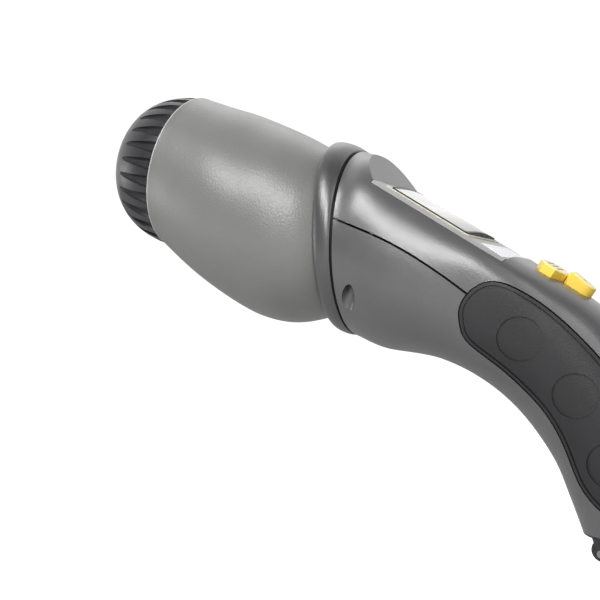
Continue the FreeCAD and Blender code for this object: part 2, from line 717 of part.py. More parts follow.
BULB_STATIONS = stations(BULB_ROWS)
BULB_FULL = loft(BULB_STATIONS)
BULB_FULL_GROWN = loft([moved(BULB_STATIONS[0], FreeCAD.Vector(1.5, 0, -0.6))] + BULB_STATIONS[1:],
                       -FIT_GAP)


# --- Cap ---------------------------------------------------------------------
def dome(radius, length, start):
    """Solid dome about +Z, upright at its rim and rounded at its crown."""
    steps = 14
    points = [FreeCAD.Vector(radius, 0, start)]
    for i in range(1, steps + 1):
        turn = math.radians(90 * i / steps)
        r = radius * math.cos(turn) ** DOME_POWERS[0]
        h = length * math.sin(turn) ** DOME_POWERS[1]
        points.append(FreeCAD.Vector(r, 0, start + h))
    points[-1] = FreeCAD.Vector(0, 0, start + length)
    curve = Part.BSplineCurve()
    curve.interpolate(Points=points)
    axis = [Part.makeLine(points[-1], FreeCAD.Vector(0, 0, start)),
            Part.makeLine(FreeCAD.Vector(0, 0, start), points[0])]
    face = Part.Face(Part.Wire([curve.toShape()] + axis))
    return face.revolve(FreeCAD.Vector(0, 0, 0), FreeCAD.Vector(0, 0, 1), 360)


def sector(inner, outer, low, high, start, span):
    """Part of a ring about +Z."""
    face = Part.Face(Part.makePolygon([
        FreeCAD.Vector(inner, 0, low), FreeCAD.Vector(outer, 0, low),
        FreeCAD.Vector(outer, 0, high), FreeCAD.Vector(inner, 0, high), FreeCAD.Vector(inner, 0, low)]))
    solid = face.revolve(FreeCAD.Vector(0, 0, 0), FreeCAD.Vector(0, 0, 1), span)
    solid.rotate(FreeCAD.Vector(0, 0, 0), FreeCAD.Vector(0, 0, 1), start)
    return solid

SEAT_INNER = SPIGOT_RADIUS + FIT_GAP
SEAT_LOW = -12.0
SEAT_HIGH = -1.75
LUG_REACH = 1.8
LUG_LOW = -9.0
LUG_HIGH = -6.5


def make_cap():
    outer = dome(CAP_RIM_RADIUS, CAP_LENGTH, CAP_GAP)
    inner = dome(CAP_RIM_RADIUS - CAP_WALL, CAP_LENGTH - CAP_WALL, CAP_GAP - 0.01)
    cap = outer.cut(inner)
    floor = sector(SPIGOT_RADIUS - SPIGOT_WALL, CAP_RIM_RADIUS - 1.0, CAP_GAP, CAP_GAP + 2.0, 0, 360)
    spigot = sector(SPIGOT_RADIUS - SPIGOT_WALL, SPIGOT_RADIUS, -SPIGOT_LENGTH, CAP_GAP + 1.0, 0, 360)
    cap = cap.fuse([floor, spigot])
    crown_height = CAP_GAP + FLUTE_LENGTH
    foot = CAP_RIM_RADIUS + FLUTE_RADIUS - FLUTE_DEPTH
    for i in range(FLUTES):
        flute = Part.makeCone(0.05, FLUTE_RADIUS, math.hypot(FLUTE_LENGTH + 1, FLUTE_LEAN),
                              FreeCAD.Vector(foot - FLUTE_LEAN, 0, crown_height),
                              FreeCAD.Vector(FLUTE_LEAN, 0, -FLUTE_LENGTH - 1))
        flute.rotate(FreeCAD.Vector(0, 0, 0), FreeCAD.Vector(0, 0, 1), 360 * i / FLUTES)
        cap = cap.cut(flute)
    lugs = [sector(SPIGOT_RADIUS - 1, SPIGOT_RADIUS + LUG_REACH, LUG_LOW, LUG_HIGH,
                   360 * i / LUGS, LUG_ANGLE) for i in range(LUGS)]
    save("fluted_cap", cap_frame(cap.fuse(lugs)))
    seal = Part.makeTorus(SPIGOT_RADIUS + 1.9, 0.75, FreeCAD.Vector(0, 0, -0.75), FreeCAD.Vector(0, 0, 1))
    save("cap_seal", cap_frame(seal))
    seat = sector(SEAT_INNER, MOUTH_RADIUS - SEAT_SLIP, SEAT_LOW, SEAT_HIGH, 0, 360)
    slack = 2.0
    for i in range(LUGS):
        start = 360 * i / LUGS - slack
        span = LUG_ANGLE + CAP_TURN + 2 * slack
        seat = seat.cut(sector(SEAT_INNER - 1, SPIGOT_RADIUS + LUG_REACH + 0.4,
                               LUG_LOW - FIT_GAP, LUG_HIGH + FIT_GAP, start, span))
        seat = seat.cut(sector(SEAT_INNER - 1, SPIGOT_RADIUS + LUG_REACH + 0.4, LUG_LOW, 2.0,
                               start + CAP_TURN, LUG_ANGLE + 2 * slack))
    save("cap_seat", cap_frame(seat))


def make_cartridge():
    far = -CARTRIDGE_DEPTH - CARTRIDGE_LENGTH
    body = Part.makeCylinder(CARTRIDGE_RADIUS, CARTRIDGE_LENGTH, FreeCAD.Vector(0, 0, far))
    edges = [e for e in body.Edges if isinstance(e.Curve, Part.Circle)]
    body = body.makeFillet(3.5, edges)
    stem = Part.makeCylinder(CARTRIDGE_NECK_RADIUS, CARTRIDGE_NECK_LENGTH + 4,
                             FreeCAD.Vector(0, 0, far - CARTRIDGE_NECK_LENGTH))
    socket = Part.makeCylinder(VALVE_RADIUS + 0.1, 6, FreeCAD.Vector(0, 0, far - CARTRIDGE_NECK_LENGTH))
    save("ink_cartridge", cap_frame(body.fuse(stem).cut(socket)))
    cradle_top = far - CARTRIDGE_NECK_LENGTH + CRADLE_THICKNESS - CRADLE_FLOOR - FIT_GAP
    slab = cap_frame(Part.makeCylinder(60, CRADLE_THICKNESS,
                                       FreeCAD.Vector(0, 0, cradle_top - CRADLE_THICKNESS)))
    snug = loft(BULB_STATIONS, BULB_WALL + FIT_GAP)
    cradle = slab.common(snug)
    hole = cap_frame(Part.makeCylinder(CARTRIDGE_NECK_RADIUS + FIT_GAP, 8,
                                       FreeCAD.Vector(0, 0, cradle_top - CRADLE_THICKNESS + CRADLE_FLOOR)))
    through = cap_frame(Part.makeCylinder(VALVE_RADIUS + 0.1, 20, FreeCAD.Vector(0, 0, cradle_top - 12)))
    save("cartridge_cradle", cradle.cut(hole).cut(through))
    low = cradle_top - CRADLE_THICKNESS
    valve = Part.makeCylinder(VALVE_RADIUS, 7.5, FreeCAD.Vector(0, 0, low - 1.0))
    flange = Part.makeCylinder(VALVE_RADIUS + 2.5, 1.6, FreeCAD.Vector(0, 0, low - 1.8))
    barb = Part.makeCylinder(HOSE_RADIUS + 0.6, 3.0, FreeCAD.Vector(0, 0, low - VALVE_REACH))
    save("docking_valve", cap_frame(fuse([valve, flange, barb])))
    return RIM_CENTRE + CAP_OUT * (low - VALVE_REACH)


# --- Hose --------------------------------------------------------------------
VALVE_INLET = at(-8.0, 40.0)


def make_hose(start):
    points = [start, start - CAP_OUT * 16, at(-78, 99), at(-48.5, 73), at(-25.5, 40.0),
              VALVE_INLET + FreeCAD.Vector(-2.5, 0, 0)]
    points[-2] = FreeCAD.Vector(points[-2].x, 0, VALVE_INLET.z)
    edges = []
    here = points[0]
    for before, corner, after in zip(points, points[1:], points[2:]):
        back = (before - corner).normalize()
        ahead = (after - corner).normalize()
        half = back.getAngle(ahead) / 2
        reach = HOSE_BEND / math.tan(half)
        a = corner + back * reach
        b = corner + ahead * reach
        centre_dir = (back + ahead).normalize()
        middle = corner + centre_dir * (HOSE_BEND / math.sin(half) - HOSE_BEND)
        edges.append(Part.makeLine(here, a))
        edges.append(Part.Arc(a, middle, b).toShape())
        here = b
    edges.append(Part.makeLine(here, points[-1]))
    path = Part.Wire(edges)
    tangent = (points[1] - points[0]).normalize()
    ring = Part.Wire(Part.makeCircle(HOSE_RADIUS, points[0], tangent))
    tube = path.makePipeShell([ring], True, False)
    print(f"ink hose: {path.Length:.1f} mm long, volume ratio "
          f"{tube.Volume / (path.Length * math.pi * HOSE_RADIUS ** 2):.4f}")
    save("ink_hose", tube)


# --- Battery -----------------------------------------------------------------
CELL_LOW = at(-13.2, 51.5)
CELL_AXIS = FreeCAD.Vector(-0.53, 0, 0.848).normalize()


def make_battery():
    across = CELL_RADIUS + 0.5
    cells = []
    for s in (-1, 1):
        foot = CELL_LOW + Y_AXIS * (s * across)
        cells.append(rod(foot, foot + CELL_AXIS * CELL_LENGTH, CELL_RADIUS))
    save("battery_cells", Part.makeCompound(cells))
    side_dir = FreeCAD.Vector(CELL_AXIS.z, 0, -CELL_AXIS.x)
    half = 2 * CELL_RADIUS + 0.5 + FIT_GAP + TRAY_WALL
    end = 2.6
    low, high = -CELL_RADIUS - FIT_GAP - TRAY_WALL, 1.0
    outline = [CELL_LOW - CELL_AXIS * end + side_dir * low, CELL_LOW - CELL_AXIS * end + side_dir * high,
               CELL_LOW + CELL_AXIS * (CELL_LENGTH + end) + side_dir * high,
               CELL_LOW + CELL_AXIS * (CELL_LENGTH + end) + side_dir * low]
    face = Part.Face(Part.makePolygon(outline + outline[:1]))
    face.translate(Y_AXIS * -half)
    tray = face.extrude(Y_AXIS * 2 * half)
    for s in (-1, 1):
        start = CELL_LOW - CELL_AXIS * 1.1 + Y_AXIS * (s * across)
        tray = tray.cut(rod(start, start + CELL_AXIS * (CELL_LENGTH + 2.2), CELL_RADIUS + FIT_GAP))
    save("battery_tray", tray)
    contacts = []
    for s in (-1, 1):
        for start, direction in ((CELL_LOW, -1), (CELL_LOW + CELL_AXIS * CELL_LENGTH, 1)):
            base = start + Y_AXIS * (s * across)
            contacts.append(rod(base + CELL_AXIS * (0.1 * direction), base + CELL_AXIS * (0.9 * direction),
                                CELL_RADIUS * 0.6))
    save("battery_contacts", Part.makeCompound(contacts))


# --- Printing end ------------------------------------------------------------
def make_nose():
    outer = BODY.common(box(-WIDE, WIDE, -WIDE, WIDE, NOSE_BOTTOM, SHELL_BOTTOM - FIT_GAP))
    plug = loft(CAVITY_ROWS, SHELL_WALL + FIT_GAP).common(
        box(-WIDE, WIDE, -WIDE, WIDE, SHELL_BOTTOM - 1.0, SHELL_BOTTOM + 5.0))
    frame = outer.fuse(plug)
    for sign in (-1, 1):
        middle = sign * ROLLER_X
        inner, outer_x = sorted((middle - sign * SLOT_HALF, middle + sign * WIDE / 4))
        frame = frame.cut(box(inner, outer_x, -CHEEK_HALF, CHEEK_HALF, -1, ROLLER_Z + ROLLER_RADIUS + 0.8))
        frame = frame.cut(rod(FreeCAD.Vector(middle, -WIDE / 2, ROLLER_Z),
                              FreeCAD.Vector(middle, WIDE / 2, ROLLER_Z), AXLE_RADIUS + SHAFT_GAP))
    well = box(-HEAD_LENGTH / 2 - FIT_GAP, HEAD_LENGTH / 2 + FIT_GAP, -HEAD_HALF - FIT_GAP,
               HEAD_HALF + FIT_GAP, -1, 30)
    frame = frame.cut(well)
    save("nose_frame", frame)


def make_rollers():
    for name, sign in (("front_roller", -1), ("rear_roller", 1)):
        axis = FreeCAD.Vector(sign * ROLLER_X, 0, ROLLER_Z)
        core = across(axis, ROLLER_HALF, ROLLER_RADIUS - ROLLER_STEP)
        treads = across(axis, ROLLER_HALF, ROLLER_RADIUS).cut(across(axis, ROLLER_WAIST, ROLLER_RADIUS * 2))
        bore = across(axis, WIDE, AXLE_RADIUS + SHAFT_GAP)
        save(name, treads.fuse(core).cut(bore))
        save(name.replace("roller", "axle"), across(axis, CHEEK_HALF + AXLE_HOLD, AXLE_RADIUS))
    axis = FreeCAD.Vector(ROLLER_X, 0, ROLLER_Z)
    start = axis + Y_AXIS * (ROLLER_HALF + SHAFT_GAP)
    disc = rod(start, start + Y_AXIS * ENCODER_THICKNESS, ENCODER_RADIUS)
    save("encoder_disc", disc.cut(across(axis, WIDE, AXLE_RADIUS + SHAFT_GAP)))
    wall = ROLLER_X - SLOT_HALF
    low = start.y + FIT_GAP
    save("encoder_sensor", box(wall + 0.05, wall + SENSOR_THICKNESS, low, low + SENSOR_LENGTH,
                               ROLLER_Z - SENSOR_LENGTH, ROLLER_Z + SENSOR_LENGTH))


def make_head():
    x = HEAD_LENGTH / 2
    save("print_head", box(-x, x, -HEAD_HALF, HEAD_HALF, PLATE_THICKNESS, HEAD_TOP))
    plate_solid = box(-x, x, -HEAD_HALF, HEAD_HALF, 0, PLATE_THICKNESS)
    for i in range(NOZZLES):
        y = (i - (NOZZLES - 1) / 2) * NOZZLE_PITCH
        plate_solid = plate_solid.cut(rod(FreeCAD.Vector(0, y, 0), FreeCAD.Vector(0, y, 3), NOZZLE_RADIUS))
    save("nozzle_plate", plate_solid)
    block = box(-x, x, -HEAD_HALF, HEAD_HALF, HEAD_TOP, HEAD_TOP + VALVE_BLOCK_HEIGHT)
    inlet = rod(VALVE_INLET + FreeCAD.Vector(-2.5, 0, 0), VALVE_INLET + FreeCAD.Vector(4, 0, 0),
                HOSE_RADIUS + 0.6)
    save("valve_block", block.fuse(inlet))


def main():
    os.makedirs("parts", exist_ok=True)
    make_shells()
    make_collar()
    make_bulb()
    make_cap()
    outlet = make_cartridge()
    make_hose(outlet)
    make_display()
    make_keys()
    make_key_stack()
    make_grips()
    make_battery()
    make_nose()
    make_rollers()
    make_head()


main()
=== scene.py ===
import json
import math

import bmesh
import bpy
from bpy.props import FloatProperty, FloatVectorProperty, PointerProperty
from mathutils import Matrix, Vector


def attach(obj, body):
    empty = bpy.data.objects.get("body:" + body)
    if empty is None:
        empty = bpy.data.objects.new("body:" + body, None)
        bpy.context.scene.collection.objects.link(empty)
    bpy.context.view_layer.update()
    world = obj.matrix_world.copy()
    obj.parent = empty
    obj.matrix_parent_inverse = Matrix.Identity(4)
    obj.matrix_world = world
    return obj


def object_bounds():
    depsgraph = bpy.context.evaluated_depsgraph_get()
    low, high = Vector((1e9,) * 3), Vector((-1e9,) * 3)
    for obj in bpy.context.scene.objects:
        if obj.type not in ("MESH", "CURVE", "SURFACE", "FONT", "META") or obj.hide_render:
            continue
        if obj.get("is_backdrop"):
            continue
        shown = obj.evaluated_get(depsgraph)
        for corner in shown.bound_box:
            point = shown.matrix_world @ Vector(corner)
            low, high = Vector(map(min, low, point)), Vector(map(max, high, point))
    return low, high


bl_info = {
    "name": "Label marker",
    "version": (1, 0, 0),
    "blender": (4, 5, 0),
    "location": "View3D > Sidebar > Label marker",
    "description": "Finishes and small parts of a hand-held ink-jet label marker",
    "category": "Object",
}

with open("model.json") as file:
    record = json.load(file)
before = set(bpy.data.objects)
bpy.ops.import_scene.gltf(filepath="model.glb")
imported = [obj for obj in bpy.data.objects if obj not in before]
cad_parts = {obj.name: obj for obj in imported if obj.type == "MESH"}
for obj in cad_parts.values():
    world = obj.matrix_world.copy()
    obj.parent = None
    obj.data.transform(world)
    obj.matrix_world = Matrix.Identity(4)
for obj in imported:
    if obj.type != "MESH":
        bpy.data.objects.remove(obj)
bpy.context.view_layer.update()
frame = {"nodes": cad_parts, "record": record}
NODES = frame["nodes"]
MM = 0.001      # lengths are in metres


def linear(code):
    """A colour written as sRGB hex, in Blender's linear values, with alpha."""
    values = [int(code[i:i + 2], 16) / 255 for i in (1, 3, 5)]
    return tuple(v / 12.92 if v <= 0.04045 else ((v + 0.055) / 1.055) ** 2.4
                 for v in values) + (1.0,)


# --- Settings ----------------------------------------------------------------
def colour_setting(name, description, code):
    return FloatVectorProperty(name=name, description=description, subtype="COLOR", size=4,
                               min=0.0, max=1.0, default=linear(code))


def length_setting(name, description, millimetres):
    return FloatProperty(name=name, description=description, default=millimetres * MM,
                         min=0.0, subtype="DISTANCE", unit="LENGTH", precision=5)


def power_setting(name, description, watts):
    return FloatProperty(name=name, description=description, default=watts, min=0.0,
                         subtype="POWER", unit="POWER")


def brightness_setting(name, description, strength):
    return FloatProperty(name=name, description=description, default=strength, min=0.0)


class CaseSettings(bpy.types.PropertyGroup):
    """Colours and grain of the outer mouldings."""
    shell: colour_setting("Shells", "Neck and handle shells", "#575758")
    collar: colour_setting("Collar", "Ring between the neck and the bulb", "#464647")
    bulb: colour_setting("Bulb", "Soft-touch paint of the ink bulb", "#757574")
    grain: length_setting("Grain", "Spark-eroded grain of the mouldings", 0.48)
    grain_depth: length_setting("Grain depth", "Height of the grain", 0.055)
    bulb_grain: length_setting("Bulb grain", "Width of the leather cells on the bulb", 0.85)
    bulb_grain_depth: length_setting("Bulb grain depth", "Height of the bulb's cells", 0.06)
    screws: colour_setting("Screws", "Zinc plating of the screws", "#a9a8a3")


class CapSettings(bpy.types.PropertyGroup):
    """Colours of the twist cap and its seal."""
    cap: colour_setting("Cap", "Satin black of the fluted cap", "#303033")
    seal: colour_setting("Seal", "Rubber of the cap's seal", "#1b1b1c")
    # Painted highlight: the lip's pale grey draws the bright line of light along the rim of the
    # bulb's mouth.
    bead: colour_setting("Rim bead", "Polished lip round the bulb's mouth", "#c2c2c0")
    bead_radius: length_setting("Bead radius", "Radius of the lip's section", 0.35)


class GripSettings(bpy.types.PropertyGroup):
    """Rubber of the two grips."""
    rubber: colour_setting("Rubber", "Moulded rubber of the grips", "#252527")
    grain: length_setting("Grain", "Leather grain of the rubber", 0.7)


class DisplaySettings(bpy.types.PropertyGroup):
    """Display face."""
    bezel: colour_setting("Bezel", "Frame round the window", "#a2a2a1")
    gasket: colour_setting("Gasket", "Cream foam seal round the window", "#ddd7c4")
    window: colour_setting("Window", "Pale screen under clear acrylic", "#ecebe8")
    panel: colour_setting("End panel", "Pale panel below the window", "#f2f2f8")
    line: colour_setting("Edge line", "Dark printed line round the window", "#1d1a18")
    crown: length_setting("Crown", "Rise of the window's middle over its edges", 1.2)
    line_width: length_setting("Edge line width", "Width of the dark line", 0.9)


class KeySettings(bpy.types.PropertyGroup):
    """Two silicone keys and their marks."""
    rubber: colour_setting("Key", "Yellow silicone rubber", "#ffd455")
    # Painted highlight: the paler yellow laid on the keys' upward faces, where the light falls.
    top: colour_setting("Key top", "Paler, thinner top of the keys", "#fff0b4")
    mark: colour_setting("Mark", "Printed marks", "#5b4a1d")


class PrintingEndSettings(bpy.types.PropertyGroup):
    """Nose, rollers and print head."""
    nose: colour_setting("Nose", "Glass-filled black of the nose frame", "#2a2a2b")
    roller: colour_setting("Roller", "Rubber of the guide rollers", "#2d2d2e")
    steel: colour_setting("Steel", "Ground steel of the axles and plate", "#b4b4b2")
    head: colour_setting("Head", "Anodised aluminium of the print head", "#8d8f92")


class StageSettings(bpy.types.PropertyGroup):
    """Camera, lights and floor."""
    lens: FloatProperty(name="Lens", description="Focal length of the camera", default=60.0,
                        min=1.0, subtype="DISTANCE_CAMERA", unit="CAMERA")
    camera_place: FloatVectorProperty(name="Camera", description="Where the camera stands", size=3,
                                      subtype="TRANSLATION", unit="LENGTH",
                                      default=(0.0437, -0.4077, 0.0993))
    camera_turn: FloatProperty(name="Camera turn", default=math.radians(25.0), subtype="ANGLE",
                               description="Turn of the camera about the vertical", unit="ROTATION")
    floor: colour_setting("Floor", "Pale floor", "#bebebe")
    background: colour_setting("White", "White of the surroundings and the floor", "#fdfdfd")
    key_power: power_setting("Key light", "Power of the two main softboxes together", 12.0)
    back_power: power_setting("Back light", "Power of the softbox behind", 1.0)
    fill_power: power_setting("Fill light", "Power of the low softbox in front", 0.8)
    right_power: power_setting("Right light", "Power of the small softbox on the right", 1.4)
    left_power: power_setting("Left light", "Power of the low softbox on the left", 2.2)
    sky: brightness_setting("Surroundings", "Brightness of the dim room in front", 0.06)
    sweep: brightness_setting("Sweep", "Brightness of the white sweep behind", 1.05)
    floor_glow: brightness_setting("Floor glow", "Light that comes up through the floor", 0.80)


SETTINGS = {
    "marker_case": CaseSettings, "marker_cap": CapSettings, "marker_grips": GripSettings,
    "marker_display": DisplaySettings, "marker_keys": KeySettings,
    "marker_printing_end": PrintingEndSettings, "marker_stage": StageSettings,
}


# --- Materials ---------------------------------------------------------------
CLOUD_SIZE = 20 * MM    # patches left by the flow of the plastic in the mould and by handling
SCUFF_SIZE = 3 * MM     # fine scuffs, which change the gloss more than the colour
NOISE_LOW, NOISE_HIGH = 0.3, 0.7    # nearly all of a noise pattern lies between these
STREAK_LENGTH = 30      # a brushed streak is this many times as long as it is wide
STREAK_DEPTH = 0.01 * MM
STREAK_GLOSS = (0.7, 1.4)           # a streak's roughness, as shares of the metal's own


def add(tree, kind, links=None, values=None, **settings):
    """Add a node, set it up and join its inputs."""
    made = tree.nodes.new(kind)
    for key, value in settings.items():
        setattr(made, key, value)
    for key, value in (values or {}).items():
        made.inputs[key].default_value = value
    for key, source in (links or {}).items():
        tree.links.new(source, made.inputs[key])
    return made


def blank(name):
    """A new material with only its output and its shader."""
    material = bpy.data.materials.new(name)
    material.use_nodes = True
    tree = material.node_tree
    tree.nodes.clear()
    output = tree.nodes.new("ShaderNodeOutputMaterial")
    shader = tree.nodes.new("ShaderNodeBsdfPrincipled")
    tree.links.new(shader.outputs["BSDF"], output.inputs["Surface"])
    return material, tree, shader


def moulded(name, colour, roughness, ior=1.5, grain=0.0, depth=0.0, spread=0.08,
            gloss_spread=0.06, cells=False, **sockets):
    """A moulded or painted surface: faint cloudiness, uneven gloss and, if it has one, a grain."""
    material, tree, shader = blank(name)
    place = add(tree, "ShaderNodeTexCoord").outputs["Object"]
    cloud = add(tree, "ShaderNodeTexNoise", {"Vector": place},
                {"Scale": 1 / CLOUD_SIZE, "Detail": 3.0})
    dark = tuple(v * (1 - spread) for v in colour[:3]) + (1.0,)
    light = tuple(min(1.0, v * (1 + spread)) for v in colour[:3]) + (1.0,)
    ramp = add(tree, "ShaderNodeValToRGB", {"Fac": cloud.outputs["Fac"]})
    stops = ramp.color_ramp.elements
    stops[0].position, stops[0].color = NOISE_LOW, dark
    stops[1].position, stops[1].color = NOISE_HIGH, light
    tree.links.new(ramp.outputs["Color"], shader.inputs["Base Color"])
    scuff = add(tree, "ShaderNodeTexNoise", {"Vector": place},
                {"Scale": 1 / SCUFF_SIZE, "Detail": 5.0})
    gloss = add(tree, "ShaderNodeMapRange", {"Value": scuff.outputs["Fac"]},
                {"From Min": NOISE_LOW, "From Max": NOISE_HIGH,
                 "To Min": roughness - gloss_spread, "To Max": roughness + gloss_spread})
    tree.links.new(gloss.outputs["Result"], shader.inputs["Roughness"])
    shader.inputs["IOR"].default_value = ior
    for socket, value in sockets.items():
        shader.inputs[socket.replace("_", " ")].default_value = value
    if grain:
        if cells:
            pits = add(tree, "ShaderNodeTexVoronoi", {"Vector": place}, {"Scale": 1 / grain})
            height = pits.outputs["Distance"]
        else:
            pits = add(tree, "ShaderNodeTexNoise", {"Vector": place},
                       {"Scale": 1 / grain, "Detail": 1.0, "Roughness": 0.5})
            height = pits.outputs["Fac"]
        bump = add(tree, "ShaderNodeBump", {"Height": height}, {"Strength": 1.0, "Distance": depth})
        tree.links.new(bump.outputs["Normal"], shader.inputs["Normal"])
    return material


def metal(name, colour, roughness, brush, axis):
    """Turned, ground or rolled metal: gloss streaks along one axis, each as wide as brush."""
    material, tree, shader = blank(name)
    place = add(tree, "ShaderNodeTexCoord").outputs["Object"]
    scale = [1 / brush] * 3
    scale[axis] = 1 / (brush * STREAK_LENGTH)
    lines = add(tree, "ShaderNodeMapping", {"Vector": place}, {"Scale": scale})
    streak = add(tree, "ShaderNodeTexNoise", {"Vector": lines.outputs["Vector"]},
                 {"Scale": 1.0, "Detail": 3.0})
    gloss = add(tree, "ShaderNodeMapRange", {"Value": streak.outputs["Fac"]},
                {"To Min": roughness * STREAK_GLOSS[0], "To Max": roughness * STREAK_GLOSS[1]})
    tree.links.new(gloss.outputs["Result"], shader.inputs["Roughness"])
    shader.inputs["Base Color"].default_value = colour
    shader.inputs["Metallic"].default_value = 1.0
    bump = add(tree, "ShaderNodeBump", {"Height": streak.outputs["Fac"]},
               {"Strength": 0.4, "Distance": STREAK_DEPTH})
    tree.links.new(bump.outputs["Normal"], shader.inputs["Normal"])
    return material


def dress(material, *names):
    """Give CAD nodes their finish."""
    for name in names:
        node = NODES[name]
        node.data.materials.clear()
        node.data.materials.append(material)


def piece(name, mesh, material, body):
    """A new object with its finish, riding on a CAD body."""
    made = bpy.data.objects.new(name, mesh)
    bpy.context.collection.objects.link(made)
    made.data.materials.append(material)
    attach(made, body)


# --- Meshes ------------------------------------------------------------------
ACROSS = Vector((0, 1, 0))


def made_mesh(name, bm):
    """Make a mesh of a surface that is finished."""
    mesh = bpy.data.meshes.new(name)
    bm.to_mesh(mesh)
    bm.free()
    return mesh


def closed_mesh(name, bm):
    """Turn a closed surface's faces outwards and make it a mesh."""
    bmesh.ops.recalc_face_normals(bm, faces=bm.faces)
    return made_mesh(name, bm)


def ring_mesh(name, centre, out, radius, section, steps=160, sides=10):
    """A bead running round a circle."""
    out = Vector(out).normalized()
    up = out.cross(ACROSS).normalized()
    bm = bmesh.new()
    loops = []
    for i in range(steps):
        a = 2 * math.pi * i / steps
        spoke = up * math.cos(a) + ACROSS * math.sin(a)
        loops.append([bm.verts.new(centre + spoke * (radius + section * math.cos(b))
                                   + out * (section * math.sin(b)))
                      for b in (2 * math.pi * j / sides for j in range(sides))])
    for i in range(steps):
        for j in range(sides):
            a, b = loops[i], loops[(i + 1) % steps]
            bm.faces.new((a[j], a[(j + 1) % sides], b[(j + 1) % sides], b[j])).smooth = True
    return closed_mesh(name, bm)


def raised_mesh(name, outlines, place, along, out, low, high, bevel=0.0):
    """Flat shapes raised a little above a face; outlines are in the face's own plane."""
    bm = bmesh.new()
    for outline in outlines:
        rows = [[bm.verts.new(place + along * u + ACROSS * v + out * h) for u, v in outline]
                for h in (low, high)]
        bm.faces.new(rows[1])
        bm.faces.new(rows[0][::-1])
        count = len(outline)
        for i in range(count):
            j = (i + 1) % count
            bm.faces.new((rows[0][i], rows[0][j], rows[1][j], rows[1][i]))
    bmesh.ops.recalc_face_normals(bm, faces=bm.faces)
    if bevel:
        middle = (low + high) / 2
        top = [e for e in bm.edges if all((v.co - place).dot(out) > middle for v in e.verts)]
        bmesh.ops.bevel(bm, geom=top, offset=bevel, segments=2, affect="EDGES")
    return made_mesh(name, bm)


def bar(u, length, width, steps=6):
    """Outline of a bar with round ends, lying across the face at u."""
    r = width / 2
    points = []
    for end, start in ((length / 2 - r, 0), (-length / 2 + r, 180)):
        for i in range(steps + 1):
            a = math.radians(start + 180 * i / steps)
            points.append((u + r * math.cos(a), end + r * math.sin(a)))
    return points


def disc(u, radius, steps=24):
    """Outline of a round dot in the middle of the face at u."""
    turns = [2 * math.pi * i / steps for i in range(steps)]
    return [(u + radius * math.cos(a), radius * math.sin(a)) for a in turns]


def slope(degrees):
    """Directions along and out of a face that falls towards the handle."""
    a = math.radians(degrees)
    return Vector((math.cos(a), 0, -math.sin(a))), Vector((math.sin(a), 0, math.cos(a)))


def reach(name, place, along, out):
    """How far a CAD node spreads along a face, to each side of it and out of it."""
    spots = [v.co - place for v in NODES[name].data.vertices]
    return (min(p.dot(along) for p in spots), max(p.dot(along) for p in spots),
            max(p.y for p in spots), max(p.dot(out) for p in spots))


def rounded(low, high, half, radius, steps=6, runs=20):
    """Outline of a plate with round corners, with extra points along its two ends."""
    points = []
    for u, v, start in ((high - radius, half - radius, 0), (low + radius, half - radius, 90),
                        (low + radius, radius - half, 180), (high - radius, radius - half, 270)):
        for i in range(steps + 1):
            a = math.radians(start + 90 * i / steps)
            points.append((u + radius * math.cos(a), v + radius * math.sin(a)))
        if start in (90, 270):
            sign = 1 if start == 90 else -1
            for i in range(1, runs):
                points.append((points[-1][0], sign * (half - radius) * (1 - 2 * i / runs)))
    return points


def crowned_mesh(name, low, high, half, radius, place, along, out, height, floor, rows=48):
    """A plate with round corners whose face rises in the middle of its width."""
    bm = bmesh.new()
    strips = []
    for i in range(rows + 1):
        v = -half + 2 * half * i / rows
        over = max(0.0, abs(v) - (half - radius))
        cut = radius - math.sqrt(max(0.0, radius ** 2 - over ** 2))
        base = place + ACROSS * v
        strips.append([bm.verts.new(base + along * u + out * h)
                       for u, h in ((low + cut, floor), (low + cut, height(v)),
                                    (high - cut, height(v)), (high - cut, floor))])
    for a, b in zip(strips, strips[1:]):
        for j in range(4):
            bm.faces.new((a[j], a[(j + 1) % 4], b[(j + 1) % 4], b[j])).smooth = j == 1
    bm.faces.new(strips[0])
    bm.faces.new(strips[-1][::-1])
    return closed_mesh(name, bm)


def crowned_ring(name, outer, inner, place, along, out, height, proud, floor):
    """A thin line that follows a crowned plate's edge."""
    bm = bmesh.new()
    loops = []
    for outline, lift in ((outer, None), (outer, proud), (inner, proud), (inner, None)):
        loops.append([bm.verts.new(place + along * u + ACROSS * v
                                   + out * (floor if lift is None else height(v) + lift))
                      for u, v in outline])
    for a, b in zip(loops, loops[1:] + loops[:1]):
        for i in range(len(outer)):
            j = (i + 1) % len(outer)
            bm.faces.new((a[i], a[j], b[j], b[i]))
    return closed_mesh(name, bm)


# Faces that carry pieces, in the frame of the CAD. Angles are falls towards the handle, in degrees.
FACET_START = Vector((-100.5, 0, 148.3)) * MM
FACET_ANGLE = 32.0
KEY_CENTRE = Vector((-25.6, 0, 104.2)) * MM
KEY_ANGLE = 34.0
PRINT_KEY_HIGH, PRINT_KEY_LOW, PRINT_KEY_RUN = 5.4 * MM, 4.0 * MM, 11.0 * MM
PRINT_KEY_FALL = math.degrees(math.atan2(PRINT_KEY_HIGH - PRINT_KEY_LOW, PRINT_KEY_RUN))

# Bead round the bulb's mouth.
MOUTH_BAND = 0.2 * MM       # the bulb's points this near to the cap's plane belong to its mouth
BEAD_LIFT = 0.02 * MM       # the bead stands this far towards the cap
BEAD_OVERHANG = 0.8         # share of the bead's radius that lies inside the mouth's edge

# Window lens and the dark line round it.
LENS_INSET = 0.25 * MM      # the lens stops this far inside the window's edge
LENS_CORNER = 2.0 * MM
LENS_DEPTH = 0.1 * MM       # and starts this far below its face
LINE_BEYOND = 0.08 * MM     # the line covers the window's edge by this much
LINE_INNER_CORNER = 1.6 * MM
LINE_PROUD = 0.05 * MM      # height over the lens
LINE_DEPTH = 0.6 * MM       # depth below the window's face

